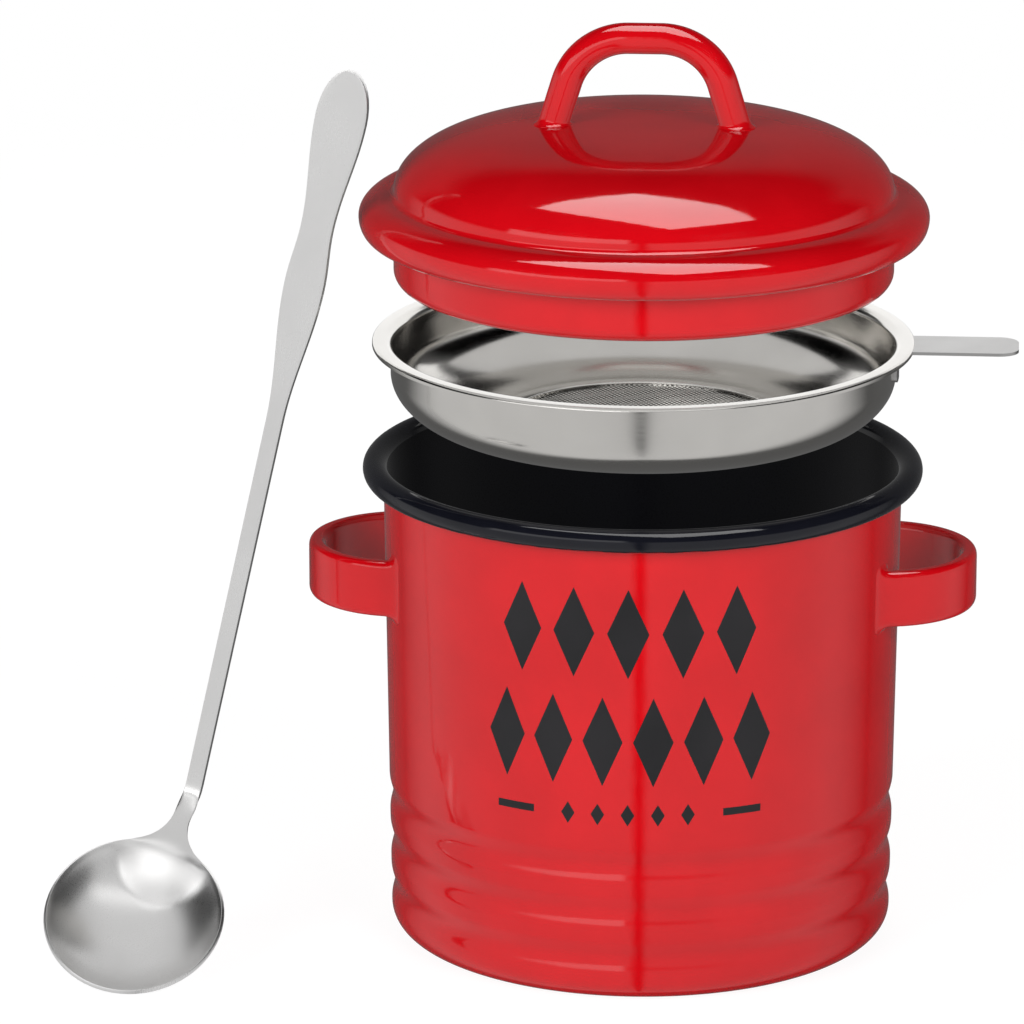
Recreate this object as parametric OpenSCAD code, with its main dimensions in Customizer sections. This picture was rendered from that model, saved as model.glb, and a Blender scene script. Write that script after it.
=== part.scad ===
// Kitchen keeper for rendered fat: an enamelled steel pot, a drop-in strainer, a domed lid and a spoon.
// Millimetres. The origin is the middle of the pot's base, on the surface that the pot stands on.
// +Z is up, the ears and both handles lie along X, and the pot's front faces -Y.
// The strainer and the lid are drawn lifted off the pot, one above the other.

/* [Pot] */
// Outer width of the pot's wall
body_d = 131; // [110:1:170]
// Height of the rolled rim's crown above the base
pot_h = 124; // [100:1:180]
// Thickness of the enamelled steel sheet of the pot and the lid
wall_t = 0.6; // [0.5:0.1:1]
// Thickness of the black enamel inside the pot and the lid
lining_t = 0.2; // [0.1:0.05:0.3]
// How far the wall leans in from the rim down to the base
foot_in = 1.8; // [0:0.1:3]
// Radius of the corner between the wall and the base
base_round = 6; // [4:0.5:9]
// Radius of the rolled rim's round section, enamel included
bead_r = 3; // [2.4:0.1:4]

/* [Grooves round the pot] */
// Number of pressed grooves
groove_count = 3; // [1:1:4]
// Plain wall between the base's corner and the lowest groove
groove_rise = 0.5; // [0:0.5:4]
// Distance from one groove to the next
groove_step = 12; // [11:0.5:16]
// Width of one groove
groove_w = 10; // [6:0.5:11]
// Depth of one groove
groove_d = 0.9; // [0.3:0.1:1.4]

/* [Ears] */
// Distance from the pot's wall to the outermost point of an ear
ear_reach = 19.2; // [15:0.2:26]
// Radius of the ear's outer face, seen from above
ear_r = 24.3; // [22:0.1:28]
// Height of the ear's strap
ear_h = 14.3; // [10:0.1:18]
// Thickness of the ear's strap
ear_t = 4; // [3:0.1:5]
// Radius that rounds the strap's edges
ear_edge_r = 1.8; // [0.6:0.1:1.9]
// Distance from the rim's crown down to the middle of the ears
ear_drop = 30; // [20:1:45]

/* [Strainer] */
// Thickness of the strainer's steel sheet
sheet_t = 0.5; // [0.4:0.1:0.8]
// Depth of the strainer from the top of its flange
bowl_depth = 22.5; // [18:0.5:30]
// Flat bottom left between the clamp ring and the strainer's rounded corner
ring_room = 3.05; // [1:0.05:12]
// Height of the strainer's rounded corner
bowl_turn = 14; // [6:0.5:14]
// Gap between the strainer's tab and the mouth of the pot
bowl_gap = 0.35; // [0.3:0.05:0.8]
// Radius of the turn from the strainer's wall to its flange
flange_round = 1.8; // [1.2:0.1:2.2]
// How far the flange reaches past the middle of the pot's rim
flange_over = 0.5; // [0.4:0.1:1]
// Inner radius of the flange's rolled-down edge
flange_edge_r = 0.4; // [0.2:0.1:0.5]

/* [Strainer mesh] */
// Radius of the perforated field
mesh_r = 34; // [28:1:36]
// Thickness of the perforated sheet
mesh_t = 0.3; // [0.2:0.1:0.5]
// Width across the corners of one hole
hole_w = 2.8; // [2:0.1:3]
// Distance from one hole to the next
hole_pitch = 4; // [3.8:0.1:5]
// Width of the clamp ring
ring_w = 4.5; // [3:0.5:6]
// Height of the clamp ring above the mesh
ring_h = 0.8; // [0.6:0.1:1.2]
// Thickness of the clamp ring's outer lip
ring_lip = 0.8; // [0.5:0.1:1.2]

/* [Strainer handle] */
// Thickness of the handle's strip
strip_t = 0.8; // [0.6:0.1:1.2]
// Width of the strip
strip_w = 16; // [12:1:20]
// How far the strip reaches past the flange
strip_reach = 26; // [18:1:40]
// Radius of the strip's end corners
strip_round = 5; // [2:0.5:6]
// Height of the tab that lies against the strainer's wall
tab_h = 9; // [7:0.5:10]
// Radius of the tab's lower corners
tab_round = 2.5; // [1:0.5:4]

/* [Lid] */
// Gap between the lid's skirt and the strainer's wall
skirt_gap = 0.35; // [0.3:0.05:0.8]
// How far the brim reaches past the pot's rim
brim_over = 0.7; // [0.3:0.1:2]
// Width of the brim from its widest line in to the crease
brim_w = 7.4; // [5:0.1:9]
// Height of the crease above the brim's widest line
brim_h = 5.3; // [4:0.1:7]
// Width of the brim's rounded lower edge
lip_w = 3; // [2.5:0.1:4]
// Depth of the brim's rounded lower edge
lip_h = 4.6; // [3.5:0.1:6]
// Radius of the crease between the brim and the dome
crease_r = 1.4; // [1:0.1:2]
// Height of the dome's top above the brim's widest line
dome_h = 23; // [18:0.5:32]
// Depth of the skirt below the brim's lower edge
skirt_h = 12.4; // [9:0.1:16]
// Radius that turns the skirt's bottom edge inwards
skirt_round = 3.5; // [2.5:0.1:5]

/* [Lid handle] */
// Thickness of the handle's round bar
bar_d = 7.8; // [6:0.1:9]
// Distance between the middles of the handle's feet
bar_span = 45.4; // [40:0.2:56]
// Height of the bar's middle line above its feet
bar_rise = 22; // [20:0.5:30]
// Lean of each leg towards the middle, in degrees
bar_lean = 17; // [5:1:20]
// Radius of the bar's bends, on its middle line
bar_bend_r = 16; // [8:0.5:17]

/* [Spoon] */
// Radius of the spoon's bowl at its rim
spoon_r = 23; // [18:0.5:26]
// Depth of the spoon's bowl, outside
spoon_depth = 9.5; // [7:0.5:12]
// Thickness of the spoon's bowl
spoon_t = 1; // [0.8:0.1:1.4]
// Radius of the fillets where the neck leaves the bowl
neck_fillet = 12; // [8:1:14]
// Angle between the bowl's rim and the handle, in degrees
neck_angle = 49; // [20:1:60]
// Radius of the neck's bend
neck_bend_r = 10; // [8:1:20]
// Width of the handle's shaft
shaft_w = 4.2; // [3.6:0.1:5]
// Thickness of the handle
shaft_t = 1.8; // [1.6:0.1:2.4]
// Length of the handle from the neck to its tip
shaft_l = 190; // [160:1:220]
// Largest width of the handle's leaf-shaped end
leaf_w = 13.1; // [10:0.1:16]
// Smallest width between the leaf and the swelling below it
waist_w = 8.2; // [6:0.1:9]
// Largest width of the swelling
swell_w = 10.2; // [9.2:0.1:12]

/* [Layout] */
// Height that the strainer is lifted above its seat on the pot
strainer_lift = 29; // [0:1:60]
// Height that the lid is lifted above its seat on the strainer
lid_lift = 27; // [0:1:60]
// Gap between parts that rest on each other
seat_gap = 0.3; // [0.3:0.05:0.6]
// Place of the spoon's bowl along X
spoon_x = -125; // [-160:1:-118]
// Place of the spoon's bowl along Y
spoon_y = -49; // [-60:1:0]
// Lean of the spoon to the right, in degrees
spoon_lean = 12.5; // [0:0.5:14]
// Turn of the spoon about its handle, in degrees
spoon_turn = 14; // [0:1:40]

/* [Hidden] */
$fn = 128;

// Pot
body_r = body_d / 2;
curl_r = bead_r - wall_t - lining_t;
crown_r = body_r + curl_r;
crown_z = pot_h - bead_r;
mouth_r = crown_r - bead_r;
rim_r = crown_r + bead_r;
curl_step = 10;
curl_end = -130;
black_end = -50;
black_cut = (black_end - curl_end) / curl_step;
ear_x = body_r + ear_reach - ear_r;
ear_z = pot_h - ear_drop;

// Strainer, from the top of its flange
bowl_r = mouth_r - bowl_gap - strip_t;
bowl_round = bowl_r - mesh_r - ring_w - ring_room;
flange_r = crown_r + flange_over;
flange_drop = sheet_t + strip_t;
strainer_seat_z = pot_h + seat_gap + flange_drop;
strainer_z = strainer_seat_z + strainer_lift;
mesh_z = sheet_t - bowl_depth;
strip_end = flange_r + strip_reach;
handle_sweep = 40;

// Lid, from the brim's widest line
skirt_r = bowl_r - sheet_t - skirt_gap;
brim_r = rim_r + brim_over;
brim_in = brim_r - brim_w;
dome_r = brim_in - crease_r;
dome_base = brim_h + crease_r;
dome_fullness = 3.67;
dome_power = 0.53;
underside_round = 1;
skirt_turn = 75;
lid_z = strainer_z + lid_lift + seat_gap + lip_h;

// Lid handle. Its straight pieces are a hair thinner than its bends and run a little way into them
foot_x = bar_span / 2;
bar_straight_d = bar_d - 0.1;
bar_lap = 1;
bar_leg_h = bar_rise - bar_bend_r * (1 - sin(bar_lean));
bar_top_x = foot_x - bar_leg_h * tan(bar_lean) - bar_bend_r * cos(bar_lean);

// Spoon
spoon_ball_z = (pow(spoon_r, 2) - pow(spoon_depth, 2)) / (2 * spoon_depth);
spoon_ball_r = spoon_ball_z + spoon_depth;
spoon_in_ball_r = spoon_ball_r - spoon_t;
spoon_in_r = sqrt(pow(spoon_in_ball_r, 2) - pow(spoon_ball_z, 2));
// The neck's fillets end a little inside the rim's circle
fillet_sink = 0.3;
fillet_x = shaft_w / 2 + neck_fillet;
fillet_reach = spoon_r + neck_fillet - fillet_sink;
web_x = spoon_r * fillet_x / fillet_reach;
web_y = sqrt(pow(fillet_reach, 2) - pow(fillet_x, 2));
// The web runs on a little into the bend above it
web_lap = 0.3;
// Places on the handle, by distance from its tip: the leaf's widest point, the waist, the swelling, the shaft
leaf_at = 12.5;
waist_at = 41;
swell_at = 56;
shaft_at = 92;
// The spoon stands on its rim or on the round of its bowl, whichever is lower
spoon_up = cos(spoon_lean) * sin(neck_angle) + sin(spoon_lean) * sin(spoon_turn) * cos(neck_angle);
rim_drop = spoon_r * sqrt(1 - pow(spoon_up, 2));
spoon_z = spoon_up > spoon_ball_z / spoon_ball_r ? spoon_ball_r - spoon_up * spoon_ball_z : rim_drop;

// Points on an arc about c, from angle a to angle b in n steps
function arc(c, r, a, b, n) = [for (i = [0:n]) c + r * [cos(a + (b - a) * i / n), sin(a + (b - a) * i / n)]];
function reversed(path) = [for (i = [len(path) - 1:-1:0]) path[i]];
function first(path, n) = [for (i = [0:n - 1]) path[i]];
// Unit vector to the left of the way from a to b
function left_of(a, b) = [a[1] - b[1], b[0] - a[0]] / norm(b - a);
// The path moved sideways by t, to its left; a point on the axis stays on the axis
function beside(path, t) = [for (i = [0:len(path) - 1])
    let (side = left_of(path[max(i - 1, 0)], path[min(i + 1, len(path) - 1)]))
    path[i][0] == 0 ? [0, path[i][1] + t * sign(side[1])] : path[i] + t * side];
// Outline of a sheet of thickness t that has the path as one face
function sheet(path, t) = concat(path, reversed(beside(path, t)));
// Smooth step from a to b as x goes from 0 to 1
function eased(a, b, x) = a + (b - a) * (1 - cos(180 * x)) / 2;

// Pot: the face that ends up red, from the middle of the base out, up the wall and round the rim's curl
// Outer radius of the plain wall at height z
function wall_r(z) = body_r - foot_in * (1 - z / crown_z);
function groove_z(i, k) = base_round + groove_rise + groove_w * k / 10 + i * groove_step;
function groove_points(i) = [for (k = [0:10])
    [wall_r(groove_z(i, k)) - eased(0, groove_d, 1 - abs(k - 5) / 5), groove_z(i, k)]];
pot_face = concat(
    [[0, 0]],
    arc([wall_r(base_round) - base_round, base_round], base_round, -90, 0, 10),
    [for (i = [0:groove_count - 1]) each groove_points(i)],
    arc([crown_r, crown_z], curl_r, 180, curl_end, (180 - curl_end) / curl_step));
pot_inner_face = beside(pot_face, wall_t);

module pot_shell() {
    color("firebrick") rotate_extrude() polygon(sheet(pot_face, wall_t));
}

module pot_lining() {
    black_face = first(pot_inner_face, len(pot_inner_face) - black_cut);
    color([0.09, 0.09, 0.1]) rotate_extrude() polygon(sheet(black_face, lining_t));
}

// A rectangle with all four corners rounded, from one corner to the opposite one
module rounded_rectangle(low, high, r) {
    for (x = [low[0] + r, high[0] - r], y = [low[1] + r, high[1] - r]) translate([x, y]) circle(r, $fn = 32);
    translate([low[0] + r, low[1]]) square([high[0] - low[0] - 2 * r, high[1] - low[1]]);
    translate([low[0], low[1] + r]) square([high[0] - low[0], high[1] - low[1] - 2 * r]);
}

// An ear on the +X side: a strap bent round, its ends cut to fit the pot's wall
module ear() {
    color("firebrick") difference() {
        translate([ear_x, 0, ear_z]) rotate([0, 0, -100]) rotate_extrude(angle = 200)
            rounded_rectangle([ear_r - ear_t, -ear_h / 2], [ear_r, ear_h / 2], ear_edge_r);
        translate([0, 0, ear_z - ear_h])
            cylinder(r1 = wall_r(ear_z - ear_h), r2 = wall_r(ear_z + ear_h), h = 2 * ear_h);
    }
}

module right_ear() {
    ear();
}

module left_ear() {
    mirror([1, 0, 0]) ear();
}

// Strainer: the lower face of its sheet, from the edge of the mesh out, up the wall and over the flange
bowl_face = concat(
    [[mesh_r, -bowl_depth]],
    [for (a = [-90:6:0]) [bowl_r - bowl_round * (1 - cos(a)), bowl_turn * (1 + sin(a)) - bowl_depth]],
    arc([bowl_r + flange_round, -sheet_t - flange_round], flange_round, 180, 90, 6),
    arc([flange_r - sheet_t - flange_edge_r, -sheet_t - flange_edge_r], flange_edge_r, 90, 0, 4),
    [[flange_r - sheet_t, -flange_drop]]);

// The flange's rolled-down edge is notched where the handle's strip passes
module strainer_bowl() {
    color([0.78, 0.78, 0.78]) translate([0, 0, strainer_z]) difference() {
        rotate_extrude() polygon(sheet(bowl_face, sheet_t));
        translate([bowl_r + flange_round, -strip_w / 2, -sheet_t - strip_w])
            cube([strip_reach, strip_w, strip_w]);
    }
}

module strainer_mesh() {
    row = hole_pitch * sin(60);
    rows = floor(mesh_r / row);
    columns = ceil(mesh_r / hole_pitch);
    color([0.7, 0.7, 0.7]) translate([0, 0, strainer_z + mesh_z]) linear_extrude(mesh_t) difference() {
        circle(mesh_r + ring_w - ring_lip);
        for (j = [-rows:rows], i = [-columns:columns]) {
            hole = [(i + (j % 2) / 2) * hole_pitch, j * row];
            if (norm(hole) < mesh_r - hole_w / 2) translate(hole) rotate([0, 0, 30]) circle(hole_w / 2, $fn = 6);
        }
    }
}

// A ring over the mesh's margin, with a lip down to the strainer's bottom round the mesh's edge
module mesh_ring() {
    out_r = mesh_r + ring_w;
    top = mesh_t + ring_h;
    round_r = ring_h / 2;
    section = concat(
        [[out_r - ring_lip, mesh_t], [out_r - ring_lip, 0], [out_r, 0]],
        arc([out_r - round_r, top - round_r], round_r, 0, 90, 6),
        arc([mesh_r + round_r, top - round_r], round_r, 90, 180, 6),
        [[mesh_r, mesh_t]]);
    color([0.82, 0.82, 0.82]) translate([0, 0, strainer_z + mesh_z]) rotate_extrude() polygon(section);
}

// A strip that runs in under the flange and turns down into a tab against the strainer's wall
module strainer_handle() {
    strip_face = concat(
        [[bowl_r, -tab_h]],
        arc([bowl_r + flange_round, -sheet_t - flange_round], flange_round, 180, 90, 6),
        [[strip_end + strip_w, -sheet_t]]);
    color([0.74, 0.74, 0.74]) translate([0, 0, strainer_z]) intersection() {
        rotate([0, 0, -handle_sweep / 2]) rotate_extrude(angle = handle_sweep)
            polygon(sheet(strip_face, -strip_t));
        translate([0, 0, -bowl_depth]) linear_extrude(bowl_depth)
            rounded_rectangle([bowl_r - 2 * strip_w, -strip_w / 2], [strip_end, strip_w / 2], strip_round);
        rotate([90, 0, 90]) linear_extrude(strip_end + strip_w)
            rounded_rectangle([-strip_w / 2, -tab_h], [strip_w / 2, tab_h], tab_round);
    }
}

// Lid: the face that ends up red, from the top of the dome out over the brim and down the skirt
function dome_z(r) = dome_base + (dome_h - dome_base) * pow(1 - pow(r / dome_r, dome_fullness), dome_power);
bar_top = dome_z(foot_x) + bar_rise;
dome_face = [for (i = [0:24]) let (r = dome_r * sin(90 * i / 24)) [r, dome_z(min(r, dome_r))]];
lid_face = concat(
    dome_face,
    arc([brim_in, dome_base], crease_r, 198, 270, 4),
    [for (a = [75:-15:0]) [brim_in + brim_w * cos(a), brim_h * sin(a)]],
    [for (a = [-15:-15:-90]) [brim_r - lip_w + lip_w * cos(a), lip_h * sin(a)]],
    arc([skirt_r + underside_round, -lip_h - underside_round], underside_round, 90, 180, 5),
    arc([skirt_r - skirt_round, -lip_h - skirt_h + skirt_round * sin(skirt_turn)], skirt_round,
        0, -skirt_turn, 6));
lid_inner_face = beside(lid_face, -wall_t);

module lid_shell() {
    color("firebrick") translate([0, 0, lid_z]) rotate_extrude() polygon(sheet(lid_face, -wall_t));
}

module lid_lining() {
    color([0.09, 0.09, 0.1]) translate([0, 0, lid_z]) rotate_extrude() polygon(sheet(lid_inner_face, -lining_t));
}

// A bend of the lid's handle on the +X side, and the leg that runs from it down into the dome
module handle_leg() {
    translate([bar_top_x, 0, bar_top - bar_bend_r]) rotate([90, 0, 0]) rotate([0, 0, bar_lean]) {
        rotate_extrude(angle = 90 - bar_lean) translate([bar_bend_r, 0]) circle(d = bar_d, $fn = 64);
        translate([bar_bend_r, bar_lap, 0]) rotate([90, 0, 0])
            cylinder(d = bar_straight_d, h = bar_lap + bar_leg_h / cos(bar_lean) + bar_d);
    }
}

// A round bar bent into an arch, its feet cut to fit the dome
module lid_handle() {
    color("firebrick") translate([0, 0, lid_z]) difference() {
        union() {
            translate([-bar_top_x - bar_lap, 0, bar_top]) rotate([0, 90, 0])
                cylinder(d = bar_straight_d, h = 2 * (bar_top_x + bar_lap));
            handle_leg();
            mirror([1, 0, 0]) handle_leg();
        }
        rotate_extrude() polygon(concat(dome_face, [[dome_r, -bar_d], [0, -bar_d]]));
    }
}

// Spoon: the bowl's middle is at the origin, its rim level, and the neck leaves along +Y
module spoon_bowl() {
    out_arc = arc([0, spoon_ball_z], spoon_ball_r, -90, asin(spoon_r / spoon_ball_r) - 90, 16);
    in_arc = arc([0, spoon_ball_z], spoon_in_ball_r, -90, asin(spoon_in_r / spoon_in_ball_r) - 90, 16);
    rotate_extrude() polygon(concat(
        [[0, -spoon_depth]],
        [for (i = [1:16]) out_arc[i]],
        [for (i = [16:-1:1]) in_arc[i]],
        [[0, spoon_t - spoon_depth]]));
}

// A flat web that narrows from the bowl's rim to the shaft
module spoon_web() {
    difference() {
        translate([0, 0, -shaft_t]) linear_extrude(shaft_t) difference() {
            translate([-web_x, 0]) square([2 * web_x, web_y + web_lap]);
            for (x = [-fillet_x, fillet_x]) translate([x, web_y]) circle(neck_fillet);
        }
        translate([0, 0, spoon_ball_z]) sphere(spoon_ball_r - spoon_t / 2);
    }
}

// Width of the handle at distance d from its tip
function handle_w(d) =
    d < leaf_at ? leaf_w * sqrt(1 - pow(1 - d / leaf_at, 2)) :
    d < waist_at ? eased(leaf_w, waist_w, (d - leaf_at) / (waist_at - leaf_at)) :
    d < swell_at ? eased(waist_w, swell_w, (d - waist_at) / (swell_at - waist_at)) :
    d < shaft_at ? eased(swell_w, shaft_w, (d - swell_at) / (shaft_at - swell_at)) :
    shaft_w;

// The bend above the web, and the shaft with its leaf-shaped end, seen along the bend's axis
module spoon_handle() {
    distances = concat(
        [for (a = [10:10:80]) leaf_at * (1 - cos(a))],
        [for (k = [0:24]) leaf_at + (shaft_at - leaf_at) * k / 24],
        [shaft_l]);
    right_side = [for (d = distances) [handle_w(d) / 2, shaft_l - d]];
    left_side = [for (p = reversed(right_side)) [-p[0], p[1]]];
    translate([0, web_y, neck_bend_r]) rotate([neck_angle, 0, 0]) {
        mirror([0, 1, 0]) rotate([0, 90, 0]) rotate_extrude(angle = neck_angle)
            translate([neck_bend_r, -shaft_w / 2]) square([shaft_t, shaft_w]);
        translate([0, 0, -neck_bend_r - shaft_t]) linear_extrude(shaft_t)
            polygon(concat([[0, shaft_l]], right_side, left_side));
    }
}

module spoon() {
    color([0.72, 0.72, 0.72]) translate([spoon_x, spoon_y, spoon_z]) rotate([0, spoon_lean, 0])
        rotate([0, 0, -spoon_turn]) rotate([90 - neck_angle, 0, 0]) {
            spoon_bowl();
            spoon_web();
            spoon_handle();
        }
}

pot_shell();
pot_lining();
left_ear();
right_ear();
strainer_bowl();
strainer_mesh();
mesh_ring();
strainer_handle();
lid_shell();
lid_lining();
lid_handle();
spoon();
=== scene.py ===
"""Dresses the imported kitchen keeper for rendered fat: an enamelled pot, its strainer, its lid and a spoon.

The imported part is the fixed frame. Every piece made here is in metres in that frame, stands for a node of
the part or lies on one, and rides on the body that carries it. The studio round it is plain and white.
"""
import logging
import math
from collections import Counter
from dataclasses import dataclass, field
from enum import Enum
from typing import Iterable, Optional, Sequence

import bpy
from mathutils import Matrix, Vector


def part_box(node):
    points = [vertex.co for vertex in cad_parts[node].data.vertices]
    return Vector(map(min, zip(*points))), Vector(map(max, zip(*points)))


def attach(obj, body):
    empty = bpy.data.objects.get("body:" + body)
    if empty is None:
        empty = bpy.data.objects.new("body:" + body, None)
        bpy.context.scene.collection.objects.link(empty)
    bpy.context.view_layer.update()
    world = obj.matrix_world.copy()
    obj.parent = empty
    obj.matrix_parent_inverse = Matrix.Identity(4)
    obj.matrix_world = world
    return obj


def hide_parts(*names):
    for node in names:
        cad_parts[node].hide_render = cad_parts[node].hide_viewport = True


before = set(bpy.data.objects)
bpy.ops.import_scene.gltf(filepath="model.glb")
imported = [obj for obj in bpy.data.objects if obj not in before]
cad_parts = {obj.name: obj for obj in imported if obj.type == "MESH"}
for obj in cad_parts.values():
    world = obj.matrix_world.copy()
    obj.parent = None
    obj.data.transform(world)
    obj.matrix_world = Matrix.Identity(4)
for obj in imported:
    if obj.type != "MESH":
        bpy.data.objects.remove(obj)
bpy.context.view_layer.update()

LOG = logging.getLogger("keeper")
MM = 0.001
ROUND = 256

Point = tuple[float, float]
Path = list[Point]


# --- Outlines -------------------------------------------------------------------------------------------


def arc(centre: Point, radius: float, start: float, end: float, steps: int) -> Path:
    """Points on an arc.

    Args:
        centre: Middle of the arc.
        radius: Radius of the arc.
        start: Angle of the first point, in degrees.
        end: Angle of the last point, in degrees.
        steps: Number of steps between them.

    Returns:
        The points, first to last.
    """
    angles = [math.radians(start + (end - start) * i / steps) for i in range(steps + 1)]
    return [(centre[0] + radius * math.cos(a), centre[1] + radius * math.sin(a)) for a in angles]


def beside(path: Path, offsets: Sequence[float]) -> Path:
    """The path moved sideways, to its left, by an offset of its own at each point.

    Args:
        path: Points of the path. A point on the axis stays on the axis.
        offsets: One distance for each point.

    Returns:
        The moved points.
    """
    moved = []
    for i, (x, z) in enumerate(path):
        (ax, az), (bx, bz) = path[max(i - 1, 0)], path[min(i + 1, len(path) - 1)]
        length = math.hypot(bx - ax, bz - az)
        side = ((az - bz) / length, (bx - ax) / length)
        if x == 0:
            moved.append((0.0, z + offsets[i] * math.copysign(1, side[1])))
        else:
            moved.append((x + offsets[i] * side[0], z + offsets[i] * side[1]))
    return moved


def sheet(path: Path, thickness: float) -> Path:
    """Outline of a sheet that has the path as one face, to be turned about the axis."""
    return path + beside(path, [thickness] * len(path))[::-1]


def eased(a: float, b: float, x: float) -> float:
    """A smooth step from a to b as x goes from 0 to 1."""
    return a + (b - a) * (1 - math.cos(math.pi * min(max(x, 0.0), 1.0))) / 2


# --- Modelling with Blender's operators -----------------------------------------------------------------


def clear_selection() -> None:
    """Deselects every object, because the frame's nodes arrive selected."""
    bpy.ops.object.select_all(action="DESELECT")


def select_only(piece: bpy.types.Object) -> None:
    """Makes one piece the only selected and the active object."""
    clear_selection()
    piece.select_set(True)
    bpy.context.view_layer.objects.active = piece


def turn(angle: float, axis: str, centre: Vector) -> None:
    """Turns the selection by the right-hand rule.

    Args:
        angle: Angle in radians. Without a window the operator turns the other way, hence the sign.
        axis: "X", "Y" or "Z".
        centre: Point that stays in place.
    """
    if abs(angle) > 1e-9:
        bpy.ops.transform.rotate(value=-angle, orient_axis=axis, center_override=tuple(centre))


def add_modifier(piece: bpy.types.Object, kind: str, **settings: object) -> None:
    """Adds a modifier with its settings and applies it."""
    select_only(piece)
    modifier = piece.modifiers.new(kind.lower(), kind)
    for name, value in settings.items():
        setattr(modifier, name, value)
    bpy.ops.object.modifier_apply(modifier=modifier.name)


def finish_mesh(piece: bpy.types.Object, smooth_angle: float = 40.0, merge: float = 1e-6) -> None:
    """Merges doubles, turns all faces outwards and shades the piece smooth below an angle."""
    select_only(piece)
    bpy.ops.object.mode_set(mode="EDIT")
    bpy.ops.mesh.select_all(action="SELECT")
    bpy.ops.mesh.remove_doubles(threshold=merge)
    bpy.ops.mesh.normals_make_consistent(inside=False)
    bpy.ops.object.mode_set(mode="OBJECT")
    bpy.ops.object.shade_smooth_by_angle(angle=math.radians(smooth_angle))


def add_finish(piece: bpy.types.Object, material: bpy.types.Material, faces: Iterable[int]) -> None:
    """Gives some of a piece's faces, by index, a second material."""
    piece.data.materials.append(material)
    for i in faces:
        piece.data.polygons[i].material_index = 1


def select_vertices(piece: bpy.types.Object, chosen: Iterable[int]) -> None:
    """Selects vertices by index, and leaves the piece in edit mode."""
    bpy.ops.object.mode_set(mode="EDIT")
    bpy.ops.mesh.select_mode(type="VERT")
    bpy.ops.mesh.select_all(action="DESELECT")
    bpy.ops.object.mode_set(mode="OBJECT")
    for i in chosen:
        piece.data.vertices[i].select = True
    bpy.ops.object.mode_set(mode="EDIT")


def lathe(name: str, outline: Path, base: float = 0.0, smooth_angle: float = 40.0) -> bpy.types.Object:
    """Draws an outline point by point and spins it about the Z axis.

    Args:
        name: Name of the piece.
        outline: Radius and height of each point, with both ends on the axis or both at one place.
        base: Height that is added to the outline.
        smooth_angle: Edges flatter than this, in degrees, are shaded smooth.

    Returns:
        The closed piece.
    """
    points = outline if outline[0][0] == 0 else outline + outline[:1]
    clear_selection()
    bpy.ops.mesh.primitive_plane_add(size=1, location=(0, 0, 0))
    piece = bpy.context.object
    piece.name = name
    bpy.ops.object.mode_set(mode="EDIT")
    bpy.ops.mesh.select_mode(type="VERT")
    bpy.ops.mesh.select_all(action="SELECT")
    bpy.ops.mesh.merge(type="CENTER")
    bpy.ops.transform.translate(value=(points[0][0], 0, points[0][1] + base))
    for here, there in zip(points, points[1:]):
        step = (there[0] - here[0], 0, there[1] - here[1])
        bpy.ops.mesh.extrude_region_move(TRANSFORM_OT_translate={"value": step})
    bpy.ops.mesh.select_all(action="SELECT")
    bpy.ops.mesh.spin(steps=ROUND, angle=2 * math.pi, center=(0, 0, 0), axis=(0, 0, 1))
    bpy.ops.object.mode_set(mode="OBJECT")
    finish_mesh(piece, smooth_angle)
    return piece


def draw_ring(here: Point, there: Point) -> None:
    """Extrudes the selected ring and takes the copy to its new height and radius."""
    bpy.ops.mesh.extrude_region_move(TRANSFORM_OT_translate={"value": (0, 0, there[1] - here[1])})
    ratio = there[0] / here[0]
    bpy.ops.transform.resize(value=(ratio, ratio, 1), center_override=(0, 0, there[1]))


@dataclass
class Station:
    """One section of a swept bar: its middle, heading in radians, width in the plane and height."""

    x: float
    y: float
    heading: float
    width: float
    height: float


def sweep(name: str, stations: Sequence[Station], corner: float, segments: int) -> bpy.types.Object:
    """Draws a bar in the XY plane out of its first section.

    Args:
        name: Name of the piece.
        stations: Sections from end to end.
        corner: Radius of the section's corners at its first size.
        segments: Segments on each corner.

    Returns:
        The closed bar.
    """
    start = stations[0]
    clear_selection()
    bpy.ops.mesh.primitive_plane_add(size=1, location=(0, 0, 0), rotation=(0, math.pi / 2, 0))
    piece = bpy.context.object
    piece.name = name
    bpy.ops.object.transform_apply(rotation=True)
    bpy.ops.object.mode_set(mode="EDIT")
    bpy.ops.mesh.select_mode(type="FACE")
    bpy.ops.mesh.select_all(action="SELECT")
    bpy.ops.transform.resize(value=(1, start.width, start.height), center_override=(0, 0, 0))
    bpy.ops.mesh.bevel(offset=corner, offset_type="OFFSET", segments=segments, affect="VERTICES")
    bpy.ops.mesh.select_all(action="SELECT")
    turn(start.heading, "Z", Vector((0, 0, 0)))
    bpy.ops.transform.translate(value=(start.x, start.y, 0))
    for here, there in zip(stations, stations[1:]):
        middle = Vector((there.x, there.y, 0))
        step = (there.x - here.x, there.y - here.y, 0)
        bpy.ops.mesh.extrude_region_move(TRANSFORM_OT_translate={"value": step})
        turn(-here.heading, "Z", middle)
        size = (1, there.width / here.width, there.height / here.height)
        bpy.ops.transform.resize(value=size, center_override=tuple(middle))
        turn(there.heading, "Z", middle)
    bpy.ops.object.mode_set(mode="OBJECT")
    finish_mesh(piece, 60)
    return piece


def place(piece: bpy.types.Object, matrix: Matrix) -> None:
    """Moves a piece and applies the move, so that its object stays at the origin."""
    select_only(piece)
    piece.matrix_world = matrix
    bpy.ops.object.transform_apply(location=True, rotation=True, scale=True)


def fillet_growth(distance: float, radius: float) -> float:
    """How far a weld fillet stands off a bar at a distance from the wall it meets."""
    if distance >= radius:
        return 0.0
    return radius - math.sqrt(radius**2 - (radius - max(distance, 0.02 * radius)) ** 2)


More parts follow.
